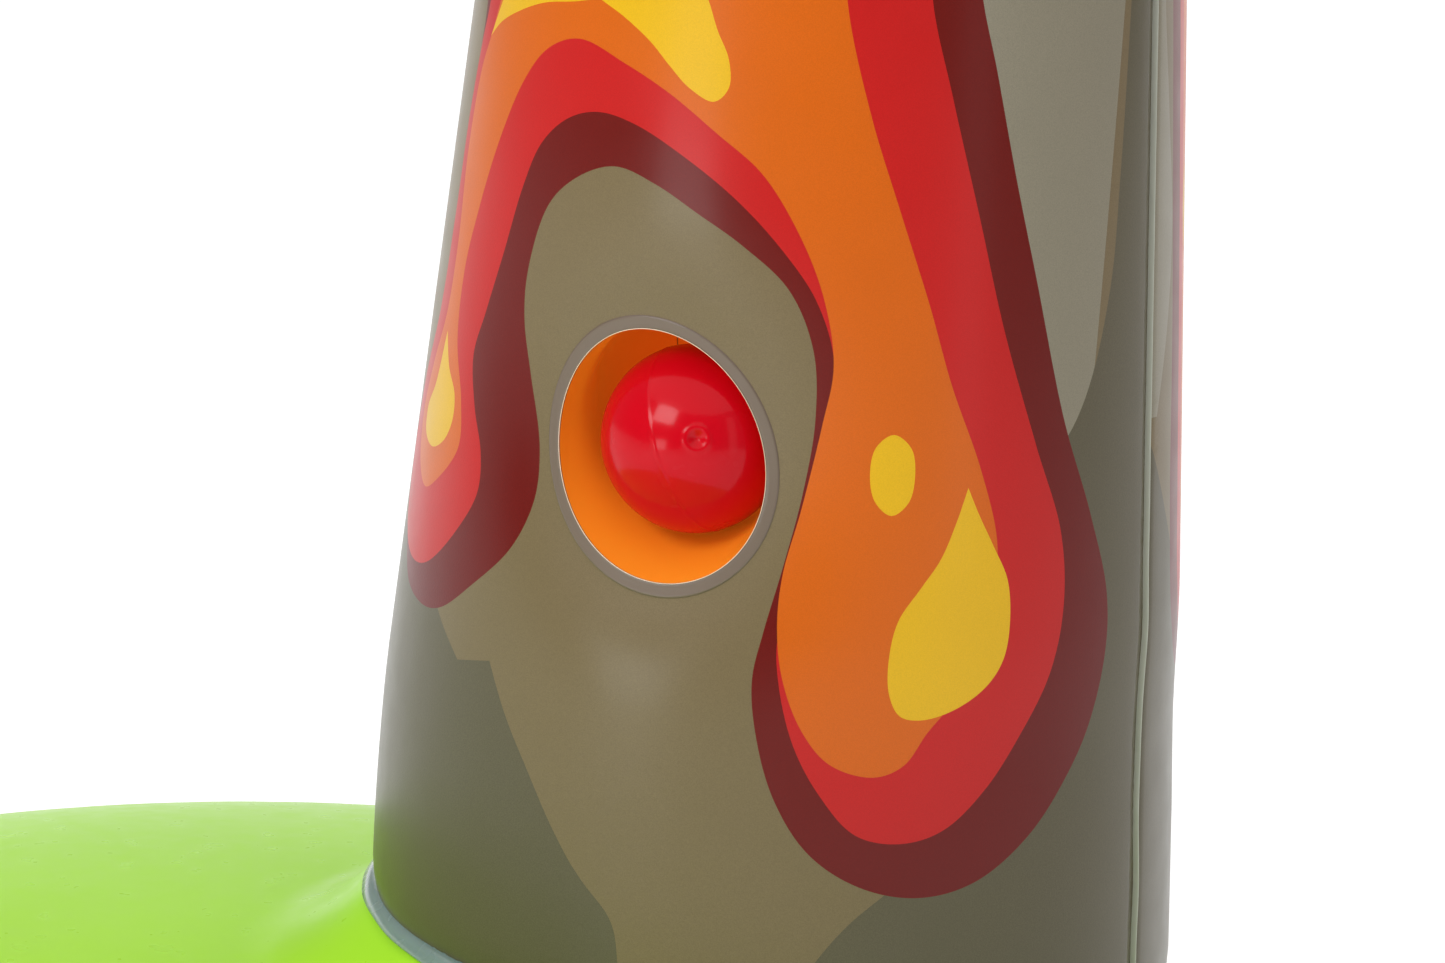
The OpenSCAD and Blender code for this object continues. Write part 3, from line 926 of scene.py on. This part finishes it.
def make_base_top():
    valve_low, valve_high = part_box("base_valve_patch")
    valve = ((valve_low.x + valve_high.x) / 2 / MM, (valve_low.y + valve_high.y) / 2 / MM)
    grid = []
    near = 222
    for radius in list(np.arange(149.5, 200, 2.4)) + [204, 209, 215]:
        grid += circle(0, 0, radius, 240)
    for edge in (0.06, 0.2, 0.5, 1, 2.2, 3.6, 5.2, 7, 9, 11.5, 14.5, 18, 22, 27, 33, 40, 49, 60):
        grid += circle(BASE_X, BASE_Y, BASE_R - edge, 420)
    for radius in np.arange(4, BASE_R - 66, 9.0):
        grid += [g for g in circle(BASE_X, BASE_Y, radius, max(8, int(radius * 0.7)))
                 if math.hypot(*g) > near]
    grid = [g for g in grid
            if math.hypot(g[0] - BASE_X, g[1] - BASE_Y) < BASE_R - 0.04
            and math.hypot(g[0] - valve[0], g[1] - valve[1]) > VALVE_CLEAR]
    mesh, inks = cut_sheet("base_top", circle(BASE_X, BASE_Y, BASE_R, 480),
                           [circle(0, 0, FOOT_R - 3, 240), circle(valve[0], valve[1], VALVE_HOLE_R, 32)],
                           [], grid, base_point, "green", {"green": green_film})
    finish_mesh("base_top", mesh, inks, ROOT, ["base_top_skin", "plinth_skin"])


def make_base_bottom():
    steps = 360
    curve = 50.0
    profile = [(BASE_R - curve + curve * math.cos(math.radians(a)),
                RIM_Z - RIM_Z * math.sin(math.radians(a))) for a in np.linspace(0, 90, 28)]
    rows = []
    for i in range(steps + 1):
        a = 2 * math.pi * i / steps
        row = []
        for r, z in profile:
            lean = pucker(a + 0.05, (RIM_Z - z) + 0.5) if z > 1 else 0
            row.append(Vector((BASE_X + (r + lean * 0.7) * math.cos(a),
                               BASE_Y + (r + lean * 0.7) * math.sin(a), z)) * MM)
        row.append(Vector((BASE_X, BASE_Y, 0)) * MM)
        rows.append(row)
    mesh = strip("base_belly", rows)
    work = bmesh.new()
    work.from_mesh(mesh)
    bmesh.ops.remove_doubles(work, verts=work.verts, dist=1e-6)
    bmesh.ops.recalc_face_normals(work, faces=work.faces)
    if sum(f.normal.z for f in work.faces) > 0:
        bmesh.ops.reverse_faces(work, faces=work.faces)
    work.to_mesh(mesh)
    work.free()
    mesh.polygons.foreach_set("use_smooth", [True] * len(mesh.polygons))
    finish_mesh("base_belly", mesh, [green_film], ROOT, ["base_bottom_skin"])


def make_rim_lip():
    steps = 720
    def section(i):
        a = 2 * math.pi * i / steps
        wave = 0.55 * math.sin(a * 61 + 2.2 * math.sin(a * 7)) + 0.3 * math.sin(a * 97 + 1.3)
        out = BASE_R + 5.6 + 0.3 * math.sin(a * 13)
        pts = [(BASE_R - 1.5, -0.5), (out - 0.5, -0.5 + wave), (out, wave), (out - 0.5, 0.5 + wave),
               (BASE_R - 1.5, 0.5)]
        return [Vector((BASE_X + r * math.cos(a), BASE_Y + r * math.sin(a), RIM_Z + z)) * MM
                for r, z in pts]
    ring_piece("rim_lip", section, steps, green_film, ["rim_seam"])


make_base_top()
make_base_bottom()
make_rim_lip()

# ---------------------------------------------------------------- ball

def make_ball():
    """A blow-moulded ball: a fine parting line round it and a dimpled crown at the filling hole."""
    vent_low, vent_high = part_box("ball_vent_plug")
    vent = ((vent_low + vent_high) / 2 - BALL_C).normalized()
    mesh = bpy.data.meshes.new("ball_skin")
    work = bmesh.new()
    bmesh.ops.create_icosphere(work, subdivisions=7, radius=1.0)
    for v in work.verts:
        d = v.co.normalized()
        from_part = math.asin(max(-1, min(1, d.dot(PARTING_AXIS)))) * BALL_R / MM
        from_vent = d.angle(vent) * BALL_R / MM
        swell = 0.26 * math.exp(-(from_part / 0.42) ** 2)
        swell += 0.40 * math.exp(-((from_vent - 3.8) / 1.1) ** 2)
        swell -= 1.9 * math.exp(-(from_vent / 2.3) ** 2)
        swell += 0.10 * noise.noise(d * 2.2)
        v.co = BALL_C + d * (BALL_R + (swell - 0.15) * MM)
    work.to_mesh(mesh)
    work.free()
    mesh.polygons.foreach_set("use_smooth", [True] * len(mesh.polygons))
    finish_mesh("ball_skin", mesh, [ball_plastic], "ball", ["ball_shell", "ball_vent_plug"])


make_ball()

# ---------------------------------------------------------------- CAD nodes with better materials

def carry_over(material, *names):
    """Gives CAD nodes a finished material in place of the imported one."""
    for name in names:
        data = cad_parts[name].data
        data.materials.clear()
        data.materials.append(material)
        data.polygons.foreach_set("use_smooth", [True] * len(data.polygons))


# The chute's sheets get the orange film with its painted glow.
carry_over(orange_film_painted_glow, "chute_shaft", "chute_floor")
carry_over(clear_film, "shaft_weld", "collar_weld")
carry_over(dark_film, "tower_bottom")
carry_over(valve_film, "tower_valve_patch", "tower_valve_stem", "tower_valve_plug",
           "tower_valve_flap", "base_valve_stem", "base_valve_plug", "base_valve_flap")
carry_over(green_film, "base_valve_patch")

# ---------------------------------------------------------------- stage and light

def make_stage():
    n = Nodes("floor_paint")
    n.set(Base_Color=(0.93, 0.93, 0.93, 1), Roughness=0.9, Emission_Color=(1, 1, 1, 1),
          Emission_Strength=0.32)
    mesh = bpy.data.meshes.new("floor")
    side, back, up, bend = 12.0, 14.0, 6.0, 2.0
    profile = [(-6.0, 0.0), (back - bend, 0.0)]
    profile += [(back - bend + bend * math.sin(a), bend - bend * math.cos(a))
                for a in np.linspace(0.1, math.pi / 2, 14)]
    profile.append((back, up))
    verts = [(x, y, z) for y, z in profile for x in (-side, side)]
    faces = [(2 * i, 2 * i + 1, 2 * i + 3, 2 * i + 2) for i in range(len(profile) - 1)]
    mesh.from_pydata(verts, [], faces)
    mesh.polygons.foreach_set("use_smooth", [True] * len(faces))
    mesh.materials.append(n.material)
    floor = bpy.data.objects.new("floor", mesh)
    floor.location.z = -0.0005
    bpy.context.scene.collection.objects.link(floor)


def area_light(name, place, target, width, height, power, tint=(1, 1, 1)):
    data = bpy.data.lights.new(name, "AREA")
    data.shape = "RECTANGLE"
    data.size = width
    data.size_y = height
    data.energy = power
    data.color = tint
    light = bpy.data.objects.new(name, data)
    light.location = place
    aim = Vector(target) - Vector(place)
    light.rotation_euler = aim.to_track_quat("-Z", "Y").to_euler()
    bpy.context.scene.collection.objects.link(light)


def make_lights():
    """A softbox high on the left, a low reflector under it, a slim strip on the right, and an even
    light from overhead."""
    target = (0, 0, 0.35)
    area_light("key_softbox", (-0.75, -1.75, 1.5), target, 1.0, 0.7, 20, (0.94, 0.98, 1))
    area_light("low_reflector", (-0.72, -1.9, 0.34), (0, 0, 0.15), 0.6, 0.36, 3.5, (0.96, 0.99, 1))
    area_light("right_strip", (2.0, -0.9, 0.9), target, 0.4, 1.6, 1.6)
    sky = bpy.data.lights.new("overhead", "SUN")
    sky.energy = 1.7
    sky.angle = math.radians(100)
    overhead = bpy.data.objects.new("overhead", sky)
    overhead.location = (0, 0, 3)
    bpy.context.scene.collection.objects.link(overhead)
    world = bpy.data.worlds.new("studio")
    bpy.context.scene.world = world
    world.use_nodes = True
    world.node_tree.nodes["Background"].inputs["Color"].default_value = (1, 1, 1, 1)
    world.node_tree.nodes["Background"].inputs["Strength"].default_value = 0.24


make_stage()
make_lights()
bpy.context.scene.view_settings.view_transform = "Standard"
